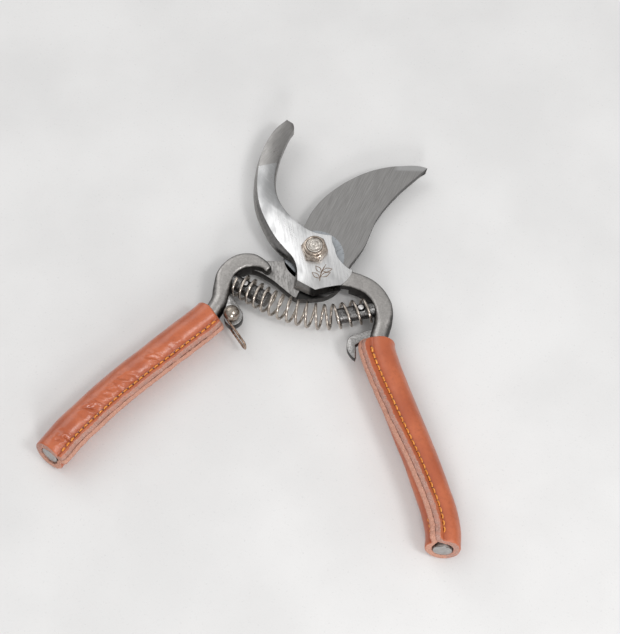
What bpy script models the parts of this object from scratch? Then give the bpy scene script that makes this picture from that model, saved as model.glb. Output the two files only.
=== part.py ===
"""Bypass pruning shears: two one-piece forgings with leather-wrapped handles, lying open, nut side up.

Frame: the origin is on the pivot axis at the flat outer face of the bolt head. +Z runs up the pivot axis,
+Y is the bisector of the open handles and points to the jaws. Lengths are in millimetres until MM turns
them into metres. The hook forging (hook jaw, right handle) lies on the blade forging (blade, left handle).
"""

import math

import bmesh
import bpy
from mathutils import Matrix, Vector

MM = 0.001
GAP = 0.3  # clearance kept wherever two pieces touch

# Heights above the bolt head's outer face
HEAD_TOP = 2.8
BLADE_BOTTOM = 3.1
BLADE_TOP = 6.5
TANG_TOP = 7.3  # raised tang of the blade forging, outside the bearing disc
HOOK_BOTTOM = 6.8
HOOK_RELIEF = 7.6  # underside of the hook forging where the raised tang passes below it
FLANK_FOOT = 8.0  # the hook's sloping outer flank ends here, above a short upright wall
BAR_MIDDLE = 7.0
BAR_THICKNESS = 8.0
BAR_TOP = BAR_MIDDLE + BAR_THICKNESS / 2
TOP_BEVEL = 0.25

# Pivot
BOLT_RADIUS = 3.0
HEAD_RADIUS = 6.0
BOLT_END = 16.9
NUT_ACROSS_FLATS = 10.0
NUT_BASE = BAR_TOP + GAP
NUT_SHOULDER = 14.9
NUT_TOP = 16.7
COLLAR_RADIUS = 4.65
NUT_TURN = math.radians(-57.7)  # direction of one corner of the hexagon
BEARING_RADIUS = 12.5  # the two forgings bear on each other inside this
LAP_RADIUS = 21.2  # inside this the forgings are half as thick and pass over each other

# Handles
BAR_WIDTH = 7.6
BAR_CORNER = 2.2
ROD_RADIUS = 3.75
PEG_RADIUS = 3.25
PIN_RADIUS = 1.05
SPRING_RADIUS = 4.95  # middle of the wire
WIRE_RADIUS = 0.58
SPRING_TURNS = 15.5

# Catch: a wire loop on a ball rivet, and the hook it drops over
RIVET = Vector((-26.4, -36.2))
LOOP_REACH = 14.6  # rivet axis to the far end of the loop
LOOP_HEADING = math.radians(-43)
LOOP_WIRE = 0.5
EYE_RADIUS = 2.6
LOOP_LOW, LOOP_HIGH = 4.0, 9.6
LUG_BOTTOM, LUG_TOP = 4.8, 8.8
CATCH_BOTTOM, CATCH_TOP = 5.0, 8.0
BALL_RADIUS = 3.4
BALL_MIDDLE = 10.9
RIVET_RADIUS = 1.7

# Leather sleeves
SLEEVE_HALF_WIDTH = 7.0
BORE_RADIUS = 4.4
SLEEVE_HALF_HEIGHT = 7.0
FLANGE_REACH = 8.7
FLANGE_HALF = 2.3
STITCH_REACH = 6.1
STITCH_LIFT = 2.5
THREAD_RADIUS = 0.4
STITCH_PITCH = 2.7

# Centre lines of the two handles, from the head to the handle's end
LEFT_BAR = [
    (-17.4, -11.9), (-18.9, -10.8), (-21.4, -10.0), (-24.8, -9.8), (-28.6, -11.2), (-31.8, -14.3),
    (-33.6, -18.7), (-33.7, -24.0), (-33.3, -30.0), (-35.0, -36.6),
]  # fmt: skip
LEFT_ROD = [
    (-38.6, -42.6), (-44.4, -50.9), (-50.3, -59.4), (-56.3, -68.0), (-61.6, -76.0), (-66.6, -84.0),
    (-71.6, -92.8), (-75.8, -102.0), (-79.2, -112.4),
]  # fmt: skip
RIGHT_BAR = [
    (11.0, -9.6), (16.0, -9.0), (20.5, -9.2), (24.6, -10.1), (28.5, -12.2), (31.7, -15.3), (33.9, -18.9),
    (34.9, -23.2), (34.8, -27.6), (34.7, -31.6),
]  # fmt: skip
RIGHT_ROD = [
    (35.6, -36.6), (38.3, -42.0), (44.2, -51.6), (51.4, -62.8), (57.5, -72.2), (63.2, -81.0),
    (69.3, -91.3), (73.7, -99.3), (76.9, -107.2), (78.2, -115.2),
]  # fmt: skip
SPRING_LINE = [(-28.2, -20.4), (-22.5, -22.3), (-15.7, -24.6), (-6.5, -26.9), (2.7, -27.7), (9.5, -27.3),
               (15.4, -25.7), (22.0, -22.5), (28.8, -19.2)]  # fmt: skip


def material(name, colour, roughness, metallic):
    made = bpy.data.materials.new(name)
    made.use_nodes = True
    shader = made.node_tree.nodes["Principled BSDF"]
    shader.inputs["Base Color"].default_value = (*colour, 1)
    shader.inputs["Roughness"].default_value = roughness
    shader.inputs["Metallic"].default_value = metallic
    return made


def through(points, steps):
    """A smooth curve through the points (Catmull-Rom), with this many points to a span."""
    points = [Vector(p) for p in points]
    points = [2 * points[0] - points[1], *points, 2 * points[-1] - points[-2]]
    curve = []
    for a, b, c, d in zip(points, points[1:], points[2:], points[3:]):
        for i in range(steps):
            t = i / steps
            curve.append(
                b + 0.5 * t * ((c - a) + t * (2 * a - 5 * b + 4 * c - d + t * (3 * b - a - 3 * c + d)))
            )
    return [*curve, points[-2]]


def outline(*stretches, steps=3):
    """A closed outline of smooth stretches that meet at corners, counter-clockwise from above.

    Each control point is (x, y, offset). The result is [(point, offset before it, offset after it)].
    """
    made = []
    for controls in stretches:
        curve = through(controls, steps if len(controls) > 2 else 1)
        for i, p in enumerate(curve[:-1]):
            made.append([p.xy, p.z, p.z])
        made.append([curve[-1].xy, curve[-1].z, curve[-1].z])
    closed = []
    for point, before, after in made:
        if closed and (closed[-1][0] - point).length < 1e-6:
            closed[-1][2] = after
        else:
            closed.append([point, before, after])
    if (closed[-1][0] - closed[0][0]).length < 1e-6:
        closed[0][1] = closed.pop()[1]
    return closed


def offset(shape, scale=1.0, fixed=0.0):
    """The outline moved outwards by its own offsets times scale, plus a fixed distance."""
    moved = []
    for i, (point, before, after) in enumerate(shape):
        ahead = (shape[(i + 1) % len(shape)][0] - point).normalized()
        behind = (point - shape[i - 1][0]).normalized()
        n1, n2 = Vector((behind.y, -behind.x)), Vector((ahead.y, -ahead.x))
        d1, d2 = before * scale + fixed, after * scale + fixed
        cross = n1.cross(n2)
        if abs(cross) < 0.2:
            shift = (n1 + n2).normalized() * (d1 + d2) / 2
        else:
            shift = Vector((d1 * n2.y - d2 * n1.y, d2 * n1.x - d1 * n2.x)) / cross
        moved.append(point + shift)
    return moved


def new_object(name, mesh, look=None, smooth_angle=35.0):
    mesh.validate()
    made = bpy.data.objects.new(name, mesh)
    bpy.context.scene.collection.objects.link(made)
    if look is None:
        made.hide_render = True
        made.display_type = "WIRE"
    else:
        mesh.materials.append(look)
        mesh.shade_smooth()
        mesh.set_sharp_from_angle(angle=math.radians(smooth_angle))
    return made


def from_rings(name, rings, look=None, capped=True, looped=False):
    """A closed mesh through rings of points of one count, each ring counter-clockwise seen from the last."""
    work = bmesh.new()
    rows = [[work.verts.new(Vector(p) * MM) for p in ring] for ring in rings]
    pairs = list(zip(rows, rows[1:])) + ([(rows[-1], rows[0])] if looped else [])
    for low, high in pairs:
        for i in range(len(low)):
            j = (i + 1) % len(low)
            work.faces.new((low[i], low[j], high[j], high[i]))
    if capped and not looped:
        work.faces.new(rows[0][::-1])
        work.faces.new(rows[-1])
    bmesh.ops.recalc_face_normals(work, faces=work.faces)
    mesh = bpy.data.meshes.new(name)
    work.to_mesh(mesh)
    work.free()
    return new_object(name, mesh, look)


def layers(name, levels, look=None):
    """A plate from (height, outline points) levels, bottom first."""
    return from_rings(name, [[(*p, z) for p in points] for z, points in levels], look)


def turned(name, profile, look=None, base=(0, 0, 0), axis=(0, 0, 1), sides=32, turn=0.0, looped=False):
    """A solid of revolution from (radius, height) pairs along an axis; looped when it has a bore."""
    place = Matrix.Translation(base) @ Vector(axis).to_track_quat("Z", "Y").to_matrix().to_4x4()
    rings = []
    for radius, height in profile:
        angles = [turn + 2 * math.pi * i / sides for i in range(sides)]
        rings.append([place @ Vector((radius * math.cos(a), radius * math.sin(a), height)) for a in angles])
    return from_rings(name, rings, look, looped=looped)


def rounded_section(width, height, corner, per_corner=4):
    """A rectangle with round corners as (across, up) pairs; a circle when the corner is half its width."""
    points = []
    for quarter, (sx, sy) in enumerate(((1, 1), (-1, 1), (-1, -1), (1, -1))):
        middle = Vector((sx * (width / 2 - corner), sy * (height / 2 - corner)))
        for i in range(per_corner + 1):
            a = math.pi / 2 * (quarter + i / (per_corner + 1))
            points.append(middle + corner * Vector((math.cos(a), math.sin(a))))
    return points


def heading(line, i):
    """Unit direction of a flat line at its point i."""
    return (line[min(i + 1, len(line) - 1)] - line[max(i - 1, 0)]).normalized()


def side(direction):
    """The left-hand side of a flat direction."""
    return Vector((-direction.y, direction.x))


def swept(name, line, sections, look=None, middle=BAR_MIDDLE):
    """Sections of (across, up) pairs carried along a flat line; across is towards the line's left."""
    rings = []
    for i, section in enumerate(sections):
        across = side(heading(line, i))
        rings.append([(*(line[i] + across * p.x), middle + p.y) for p in section])
    return from_rings(name, rings, look)


def tube(name, path, radius, look=None, sides=8):
    """A round wire along a path in space, without twist."""
    path = [Vector(p) for p in path]
    rings = []
    across = None
    for i, point in enumerate(path):
        along = (path[min(i + 1, len(path) - 1)] - path[max(i - 1, 0)]).normalized()
        if across is None:
            across = along.orthogonal().normalized()
        across = (across - along * across.dot(along)).normalized()
        up = along.cross(across)
        angles = [2 * math.pi * k / sides for k in range(sides)]
        rings.append([point + radius * (across * math.cos(a) + up * math.sin(a)) for a in angles])
    return from_rings(name, rings, look)


def combine(target, operation, *others):
    for other in others:
        made = target.modifiers.new(f"{operation.lower()} {other.name}", "BOOLEAN")
        made.operation = operation
        made.object = other
    return target


def arc(radius, start, end, count):
    """(x, y, 0) points on a circle round the pivot, between two directions in degrees."""
    angles = [math.radians(start + (end - start) * i / count) for i in range(count + 1)]
    return [(radius * math.cos(a), radius * math.sin(a), 0) for a in angles]


def eased(t):
    t = min(max(t, 0.0), 1.0)
    return t * t * (3 - 2 * t)


def bar(name, bar_line, rod_line, nose):
    """One handle's bar: a rounded rectangle that becomes the round rod inside the leather."""
    line = through(bar_line + rod_line, 3)
    line[-1] = line[-2].lerp(line[-1], 0.2)
    turn = 3 * (len(bar_line) - 1)  # here the bar is fully round
    sections = []
    for i in range(len(line)):
        rounding = eased((i - turn + 9) / 6)
        width = BAR_WIDTH + (2 * ROD_RADIUS - BAR_WIDTH) * rounding
        corner = BAR_CORNER + (ROD_RADIUS - BAR_CORNER - 0.01) * rounding
        if nose:
            width -= 4.0 * eased(1 - i / 13.5)
        sections.append(rounded_section(width, BAR_THICKNESS, min(corner, width / 2 - 0.01)))
    if nose:
        first = line[0] - heading(line, 0) * 0.9
        line.insert(0, first)
        sections.insert(0, [p * 0.8 for p in sections[0]])
        line.insert(0, first - heading(line, 0) * 0.6)
        sections.insert(0, [p * 0.4 for p in sections[1]])
    return swept(name, line, sections)


def hook_forging(look):
    outer = [
        (-27.2, 61.5, 0.0), (-31.0, 55.4, 0.1), (-33.2, 47.5, 0.4), (-33.7, 39.0, 0.9), (-32.7, 30.8, 1.3),
        (-30.6, 22.5, 1.8), (-27.2, 15.0, 2.2), (-22.2, 8.0, 2.5), (-17.2, 2.4, 2.6), (-12.0, -1.9, 2.5),
        (-7.9, -5.2, 2.2), (-5.3, -9.6, 1.7), (-3.8, -15.0, 1.4),
    ]  # fmt: skip
    facet = [(-3.8, -15.0, 2.5), (4.5, -17.6, 1.7)]
    arch = [(4.5, -17.6, 1.0), (8.2, -15.6, 0.9), (12.6, -13.6, 0.8), (17.6, -12.4, 0.5), (26.5, -11.8, 0.2)]
    end = [(26.5, -11.8, 0.0), (26.5, -9.2, 0.0)]
    shoulder = [
        (26.5, -9.2, 0.0), (22.6, -6.6, 0.0), (19.0, -5.6, 0.0), (14.8, -4.0, 0.0), (11.3, -1.5, 0.0),
        (9.2, 0.9, 0.0), (7.9, 3.6, 0.0), (6.2, 6.4, 0.0), (5.3, 9.3, 0.0),
    ]  # fmt: skip
    inner = [
        (5.3, 9.3, 0.0), (0.6, 8.9, 0.0), (-3.2, 9.2, 0.0), (-7.1, 10.5, 0.0), (-12.7, 13.6, 0.0),
        (-18.2, 18.2, 0.0), (-22.3, 23.9, 0.0), (-24.7, 31.5, 0.0), (-25.4, 39.5, 0.0), (-25.1, 46.5, 0.0),
        (-24.0, 54.0, 0.0), (-23.1, 57.4, 0.0), (-24.2, 60.5, 0.0), (-27.2, 61.5, 0.0),
    ]  # fmt: skip
    shape = outline(outer, facet, arch, end, shoulder, inner)
    plate = layers(
        "hook_forging",
        [
            (HOOK_BOTTOM, offset(shape)),
            (FLANK_FOOT, offset(shape)),
            (BAR_TOP - TOP_BEVEL, offset(shape, 0)),
            (BAR_TOP, offset(shape, 0, -TOP_BEVEL)),
        ],
        look,
    )
    handle = bar("right_bar", RIGHT_BAR, RIGHT_ROD, nose=False)
    lap = turned("lap_cutter", [(LAP_RADIUS, 0.0), (LAP_RADIUS, HOOK_BOTTOM)], sides=64)
    combine(handle, "DIFFERENCE", lap)
    relief = layers(
        "relief_cutter",
        [
            (z, [Vector(p[:2]) for p in arc(BEARING_RADIUS - GAP, 195, 326, 16) + arc(26, 326, 195, 12)])
            for z in (HOOK_BOTTOM - 1, HOOK_RELIEF)
        ],
    )
    hole = turned("hook_hole_cutter", [(BOLT_RADIUS + GAP, 5.0), (BOLT_RADIUS + GAP, 12.0)], sides=32)
    socket = peg_socket("right_socket_cutter", *RIGHT_PEG)
    return combine(combine(plate, "UNION", handle), "DIFFERENCE", relief, hole, socket)


def blade_forging(look):
    ledge = [
        (-29.2, -14.4, 0.0), (-27.3, -14.7, 0.0), (-25.7, -13.4, 0.0), (-23.4, -12.8, 0.0), (-19.7, -13.4, 0.0),
        (-14.2, -15.5, 0.0), (-9.1, -18.3, 0.0), (-4.1, -21.0, 0.0), (-2.6, -21.3, 0.0),
    ]  # fmt: skip
    heel = [
        (-2.6, -21.3, 0.0), (3.4, -20.0, 0.0), (9.0, -17.6, 0.0), (12.9, -13.4, 0.0), (14.8, -8.0, 0.0),
        (15.2, -1.6, 0.0), (17.6, 4.6, 0.2), (19.5, 10.2, 0.3), (20.4, 16.5, 0.3), (21.4, 23.2, 0.3),
        (24.2, 31.3, 0.3), (28.0, 39.2, 0.3), (32.3, 46.2, 0.3), (37.5, 54.2, 0.3),
    ]  # fmt: skip
    edge = [
        (37.5, 54.2, 1.0), (33.3, 54.4, 2.2), (27.8, 53.1, 4.0), (20.5, 50.6, 6.0), (13.0, 46.4, 8.0),
        (6.1, 40.5, 9.0), (0.8, 34.4, 9.5), (-3.4, 27.9, 9.0), (-6.2, 21.0, 7.0), (-7.9, 13.5, 3.5),
        (-10.2, 8.0, 0.5), (-12.2, 3.0, 0.0), (-12.9, -1.2, 0.0), (-12.3, -4.8, 0.0),
    ]  # fmt: skip
    tang = [
        (-12.3, -4.8, 0.0), (-15.7, -6.2, 0.0), (-19.5, -7.0, 0.0), (-25.5, -9.2, 0.0), (-29.2, -14.4, 0.0),
    ]  # fmt: skip
    shape = outline(ledge, heel, edge, tang)
    blade = layers(
        "blade_forging",
        [
            (BLADE_BOTTOM, offset(shape, -1)),
            (BLADE_TOP - GAP, offset(shape, 0)),
            (BLADE_TOP, offset(shape, 0)),
        ],
        look,
    )
    step = arc(BEARING_RADIUS + 0.2, 264, 202, 14)
    raised = outline(
        [(-29.0, -14.3, 0.0), *ledge[1:-1], (-2.7, -21.1, 0.0)],
        [(-2.7, -21.1, 0.0), step[0]],
        step,
        [step[-1], (-15.7, -6.35, 0.0), (-19.5, -7.15, 0.0), (-25.3, -9.3, 0.0), (-29.0, -14.3, 0.0)],
    )
    plateau = layers("tang_plateau", [(4.0, offset(raised, 0, -0.15)), (TANG_TOP, offset(raised, 0, -0.15))])
    handle = bar("left_bar", LEFT_BAR, LEFT_ROD, nose=True)
    hole = turned("blade_hole_cutter", [(BOLT_RADIUS + GAP, 1.0), (BOLT_RADIUS + GAP, 8.0)], sides=32)
    socket = peg_socket("left_socket_cutter", *LEFT_PEG)
    return combine(combine(blade, "UNION", plateau, handle), "DIFFERENCE", hole, socket)


# Spring pegs: (foot inside the bar, direction, length)
LEFT_PEG = (Vector((-31.6, -19.2, BAR_MIDDLE)), Vector((0.950, -0.314, 0.0)).normalized(), 16.6)
RIGHT_PEG = (Vector((31.4, -18.0, BAR_MIDDLE)), Vector((-0.898, -0.439, 0.0)).normalized(), 17.8)
PIN_DISTANCE = 7.2  # from the peg's foot


def peg_socket(name, foot, direction, length):
    return turned(
        name,
        [(PEG_RADIUS + GAP, -GAP), (PEG_RADIUS + GAP, length / 2)],
        base=foot,
        axis=direction,
        sides=24,
    )


def spring_peg(name, peg, look):
    foot, direction, length = peg
    made = turned(
        name,
        [(PEG_RADIUS, 0.0), (PEG_RADIUS, length - 0.6), (PEG_RADIUS - 0.6, length)],
        look,
        foot,
        direction,
        sides=24,
    )
    drill = foot + direction * PIN_DISTANCE
    cutter = turned(
        f"{name}_drill", [(PIN_RADIUS + GAP, -2.4), (PIN_RADIUS + GAP, 8.0)], base=drill, sides=16
    )
    return combine(made, "DIFFERENCE", cutter)


def peg_pin(name, peg, look):
    foot, direction, _ = peg
    profile = [
        (PIN_RADIUS, -2.1),
        (PIN_RADIUS, PEG_RADIUS + 0.3),
        (PIN_RADIUS * 0.8, PEG_RADIUS + 0.55),
        (PIN_RADIUS * 0.35, PEG_RADIUS + 0.7),
    ]
    return turned(name, profile, look, foot + direction * PIN_DISTANCE, sides=16)


def coil_spring(look):
    line = through(SPRING_LINE, 12)
    spans = [(b - a).length for a, b in zip(line, line[1:])]
    total = sum(spans)
    steps = round(SPRING_TURNS * 16)
    path = []
    for k in range(steps + 1):
        share = k / steps
        walked, i = share * total, 0
        while i < len(spans) - 1 and walked > spans[i]:
            walked -= spans[i]
            i += 1
        point = line[i].lerp(line[i + 1], walked / spans[i])
        across = side((line[i + 1] - line[i]).normalized())
        angle = 2 * math.pi * SPRING_TURNS * share + math.pi / 2
        flat = point + across * SPRING_RADIUS * math.cos(angle)
        path.append((*flat, BAR_MIDDLE + SPRING_RADIUS * math.sin(angle)))
    return tube("coil_spring", path, WIRE_RADIUS, look, sides=6)


def pivot_bolt(look):
    profile = [
        (HEAD_RADIUS - 0.6, 0.0), (HEAD_RADIUS, 0.6), (HEAD_RADIUS, HEAD_TOP), (BOLT_RADIUS, HEAD_TOP),
        (BOLT_RADIUS, BOLT_END - 0.5), (BOLT_RADIUS - 0.5, BOLT_END), (1.2, BOLT_END + 0.25),
    ]  # fmt: skip
    return turned("pivot_bolt", profile, look)


def pivot_nut(look):
    """A hexagon with chamfered corners, and a round collar on top."""
    corner = NUT_ACROSS_FLATS / math.sqrt(3)
    hexagon = turned(
        "pivot_nut", [(corner, NUT_BASE), (corner, NUT_SHOULDER)], look, sides=6, turn=NUT_TURN
    )
    cone = turned(
        "nut_chamfer",
        [
            (corner - 0.4, NUT_BASE - 0.1),
            (corner + 0.3, NUT_BASE + 0.35),
            (corner + 0.3, NUT_SHOULDER - 1.0),
            (COLLAR_RADIUS - 0.2, NUT_SHOULDER + 0.1),
        ],
        sides=36,
    )
    collar = turned(
        "nut_collar",
        [
            (COLLAR_RADIUS, NUT_SHOULDER - 2), (COLLAR_RADIUS, NUT_TOP - 0.6), (COLLAR_RADIUS - 0.2, NUT_TOP - 0.2),
            (COLLAR_RADIUS - 0.6, NUT_TOP), (2.0, NUT_TOP),
        ],
        sides=36,
    )  # fmt: skip
    bore = turned("nut_bore", [(BOLT_RADIUS + GAP, 9.0), (BOLT_RADIUS + GAP, 18.0)], sides=32)
    combine(hexagon, "INTERSECT", cone)
    combine(hexagon, "UNION", collar)
    return combine(hexagon, "DIFFERENCE", bore)


def catch_lug(look):
    around = [
        RIVET + 4.6 * Vector((math.cos(a), math.sin(a)))
        for a in (math.radians(d) for d in range(-90, 61, 15))
    ]
    root = [
        (-24.9, -31.1), (-26.4, -29.9), (-28.4, -28.3), (-29.2, -27.6), (-29.4, -31.0), (-29.5, -34.5),
        (-29.5, -37.2), (-28.6, -39.2),
    ]  # fmt: skip
    points = around + [Vector(p) for p in root]
    lug = layers("catch_lug", [(LUG_BOTTOM, points), (LUG_TOP, points)], look)
    hole = turned(
        "lug_hole_cutter", [(RIVET_RADIUS + GAP, 3.0), (RIVET_RADIUS + GAP, 10.0)], base=(*RIVET, 0), sides=20
    )
    return combine(lug, "DIFFERENCE", hole)


def catch_rivet(look):
    """A ball head above the lug and a flat tail below it, with the loop's eyes between."""
    neck = LOOP_HIGH + LOOP_WIRE + GAP
    start = math.asin((neck - BALL_MIDDLE) / BALL_RADIUS)
    ball = []
    for i in range(10):
        a = start + (math.radians(86) - start) * i / 9
        ball.append((BALL_RADIUS * math.cos(a), BALL_MIDDLE + BALL_RADIUS * math.sin(a)))
    tail_top = LOOP_LOW - LOOP_WIRE - GAP
    profile = [(2.6, tail_top - 1.1), (3.0, tail_top - 0.7), (3.0, tail_top), (RIVET_RADIUS, tail_top)]
    profile += [(RIVET_RADIUS, neck - 0.2)] + ball
    return turned("catch_rivet", profile, look, (*RIVET, 0), sides=28)


def wire_loop(look):
    """Two eyes round the rivet joined by a U: one leg under the lug, one over it."""
    ahead = Vector((math.cos(LOOP_HEADING), math.sin(LOOP_HEADING)))
    touch = LOOP_HEADING - math.pi / 2
    reach = math.sqrt(LOOP_REACH**2 - EYE_RADIUS**2)
    bend = 1.8
    eye = []
    for i in range(21):
        a = touch - math.radians(300) * (1 - i / 20)
        eye.append(RIVET + EYE_RADIUS * Vector((math.cos(a), math.sin(a))))
    leg_foot = eye[-1]
    half = [(*p, LOOP_LOW) for p in eye]
    for distance in (3.0, 6.5, reach - bend - 1.5):
        half.append((*(leg_foot + ahead * distance), LOOP_LOW))
    for i in range(5):
        a = math.pi / 2 * i / 4
        flat = leg_foot + ahead * (reach - bend + bend * math.sin(a))
        half.append((*flat, LOOP_LOW + bend * (1 - math.cos(a))))
    middle = (LOOP_LOW + LOOP_HIGH) / 2
    mirrored = [(x, y, 2 * middle - z) for x, y, z in reversed(half)]
    return tube("wire_loop", half + mirrored, LOOP_WIRE, look, sides=8)


def catch_hook(look):
    outer = [
        (30.6, -28.6, 0.0), (26.4, -31.2, 0.0), (23.4, -33.3, 0.0), (22.4, -35.8, 0.0), (23.2, -39.6, 0.0),
        (25.4, -42.1, 0.0), (27.3, -43.2, 0.0),
    ]  # fmt: skip
    beak = [(27.3, -43.2, 0.0), (27.6, -41.9, 0.0), (26.6, -39.8, 0.0), (25.7, -37.4, 0.0)]
    arm = [(25.7, -37.4, 0.0), (26.4, -35.4, 0.0), (28.1, -33.7, 0.0), (30.4, -32.6, 0.0)]
    shape = outline(outer, beak, arm, [(30.4, -32.6, 0.0), (30.6, -28.6, 0.0)])
    return layers(
        "catch_hook",
        [
            (CATCH_BOTTOM, offset(shape, 0, -0.2)),
            (CATCH_BOTTOM + 0.2, offset(shape, 0)),
            (CATCH_TOP - 0.25, offset(shape, 0)),
            (CATCH_TOP, offset(shape, 0, -0.25)),
        ],
        look,
    )


def sleeve_section(lift, inner_sign, reach):
    """One cut through a sleeve: [(outer point, bore point)], with the stitched flange at this elevation."""
    rows = []
    along = Vector((math.cos(lift), math.sin(lift)))
    up = Vector((-math.sin(lift), math.cos(lift)))
    flange = [
        along * STITCH_REACH + up * STITCH_LIFT,
        along * reach + up * FLANGE_HALF,
        along * reach,
        along * reach - up * FLANGE_HALF,
        along * STITCH_REACH - up * STITCH_LIFT,
    ]
    first = math.degrees(lift)
    tube_points = []
    for i in range(19):
        a = math.radians(first - 48 - 264 * i / 18)
        tube_points.append(Vector((SLEEVE_HALF_WIDTH * math.cos(a), SLEEVE_HALF_HEIGHT * math.sin(a))))
    for outer in flange + tube_points:
        bore = outer.normalized() * BORE_RADIUS
        rows.append((Vector((outer.x * inner_sign, outer.y)), Vector((bore.x * inner_sign, bore.y))))
    return rows


def sleeve_line(bar_line, rod_line, skipped):
    """Centre line of a sleeve: the handle's own, from just past its bar to just short of its end."""
    line = through(bar_line + rod_line, 3)[3 * (len(bar_line) - 1) + skipped :]
    return line[:-1] + [line[-2].lerp(line[-1], 0.5)]


def leather_sleeve(name, line, inner_sign, lifts, slant, look):
    """A tube of leather round the rod, folded over and stitched along the inner side, its end cut slanting."""
    rows = []
    for i, point in enumerate(line):
        share = i / (len(line) - 1)
        lift = math.radians(lifts[0] + (lifts[1] - lifts[0]) * eased(share))
        reach = FLANGE_REACH - 0.7 * (1 - eased(share * 8))
        along = heading(line, i)
        lean = slant if i == len(line) - 1 else 0.0
        rows.append(
            [
                [(*(point + side(along) * p.x - along * lean * p.y), BAR_MIDDLE + p.y) for p in pair]
                for pair in sleeve_section(lift, inner_sign, reach)
            ]
        )
    work = bmesh.new()
    outer = [[work.verts.new(Vector(pair[0]) * MM) for pair in row] for row in rows]
    bore = [[work.verts.new(Vector(pair[1]) * MM) for pair in row] for row in rows]
    count = len(outer[0])
    for skin in (outer, bore):
        for low, high in zip(skin, skin[1:]):
            for i in range(count):
                j = (i + 1) % count
                work.faces.new((low[i], low[j], high[j], high[i]))
    for k in (0, -1):
        for i in range(count):
            j = (i + 1) % count
            work.faces.new((outer[k][i], outer[k][j], bore[k][j], bore[k][i]))
    bmesh.ops.recalc_face_normals(work, faces=work.faces)
    mesh = bpy.data.meshes.new(name)
    work.to_mesh(mesh)
    work.free()
    return new_object(name, mesh, look)


def stitching(name, line, inner_sign, lifts, look):
    """The thread along the upper side of the flange: it rises over each stitch and dips between two."""
    length = sum((b - a).length for a, b in zip(line, line[1:]))
    stitches = int((length - 8) / STITCH_PITCH)
    count = 4 * stitches
    path = []
    for k in range(count + 1):
        place = (4 + (length - 8) * k / count) / length * (len(line) - 1)
        i = min(int(place), len(line) - 2)
        share = place / (len(line) - 1)
        lift = math.radians(lifts[0] + (lifts[1] - lifts[0]) * eased(share))
        along = Vector((math.cos(lift), math.sin(lift)))
        up = Vector((-math.sin(lift), math.cos(lift)))
        rise = STITCH_LIFT + GAP + THREAD_RADIUS + 0.12 + 0.1 * math.sin(math.pi * k / 2) ** 2
        spot = along * (STITCH_REACH + 0.5) + up * rise
        across = side(heading(line, i)).lerp(side(heading(line, i + 1)), place - i).normalized()
        point = line[i].lerp(line[i + 1], place - i)
        path.append((*(point + across * spot.x * inner_sign), BAR_MIDDLE + spot.y))
    return tube(name, path, THREAD_RADIUS, look, sides=5)


def clear_scene():
    for old in list(bpy.data.objects):
        bpy.data.objects.remove(old)


def main():
    clear_scene()
    forged = material("forged_steel", (0.30, 0.29, 0.28), 0.38, 1.0)
    polished = material("polished_steel", (0.62, 0.62, 0.62), 0.25, 1.0)
    nickel = material("nickel", (0.50, 0.46, 0.41), 0.25, 1.0)
    spring_wire = material("spring_steel", (0.45, 0.42, 0.38), 0.25, 1.0)
    leather = material("leather", (0.42, 0.13, 0.05), 0.45, 0.0)
    thread = material("thread", (0.85, 0.42, 0.08), 0.7, 0.0)

    hook_forging(polished)
    blade_forging(forged)
    pivot_bolt(nickel)
    pivot_nut(nickel)
    coil_spring(spring_wire)
    for label, peg in (("left", LEFT_PEG), ("right", RIGHT_PEG)):
        spring_peg(f"{label}_spring_peg", peg, forged)
        peg_pin(f"{label}_peg_pin", peg, nickel)
    catch_lug(forged)
    catch_rivet(nickel)
    wire_loop(spring_wire)
    catch_hook(forged)

    left_line = sleeve_line(LEFT_BAR, LEFT_ROD, 0)
    right_line = sleeve_line(RIGHT_BAR, RIGHT_ROD, 1)
    for label, line, inner_sign, lifts, slant in (
        ("left", left_line, 1, (25, 40), 0.28),
        ("right", right_line, -1, (38, 64), 0.18),
    ):
        leather_sleeve(f"{label}_sleeve", line, inner_sign, lifts, slant, leather)
        stitching(f"{label}_stitching", line, inner_sign, lifts, thread)


main()
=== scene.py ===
"""Looks for the pruning shears: forgings, folded and stitched leather, a coil spring along a curve, and
light.

Lengths are in millimetres until MM turns them into metres. The frame is the CAD model's: origin on the pivot
axis at the bolt head's outer face, +Z up that axis to the nut, +Y to the jaws.
"""

import math

import bmesh
import bpy
from mathutils import Matrix, Vector, noise

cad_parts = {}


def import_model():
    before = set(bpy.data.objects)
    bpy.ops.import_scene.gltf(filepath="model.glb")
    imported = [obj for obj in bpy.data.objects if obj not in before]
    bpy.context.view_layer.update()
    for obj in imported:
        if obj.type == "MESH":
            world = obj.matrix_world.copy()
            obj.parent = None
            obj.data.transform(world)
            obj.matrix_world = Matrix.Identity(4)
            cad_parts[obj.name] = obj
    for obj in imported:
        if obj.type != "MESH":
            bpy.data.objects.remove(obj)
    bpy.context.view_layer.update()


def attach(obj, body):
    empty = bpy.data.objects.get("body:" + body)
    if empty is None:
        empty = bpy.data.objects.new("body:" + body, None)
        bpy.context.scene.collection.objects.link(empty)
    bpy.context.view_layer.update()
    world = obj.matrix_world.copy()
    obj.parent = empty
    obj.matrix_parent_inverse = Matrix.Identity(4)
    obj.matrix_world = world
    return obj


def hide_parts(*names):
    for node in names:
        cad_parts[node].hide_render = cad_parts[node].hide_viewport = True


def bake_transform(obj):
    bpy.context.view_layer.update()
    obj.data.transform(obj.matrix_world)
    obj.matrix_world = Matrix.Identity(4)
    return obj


MM = 0.001
ROOT, BLADE_HALF, LOOP_BODY = "hook_half", "blade_half", "loop"

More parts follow.
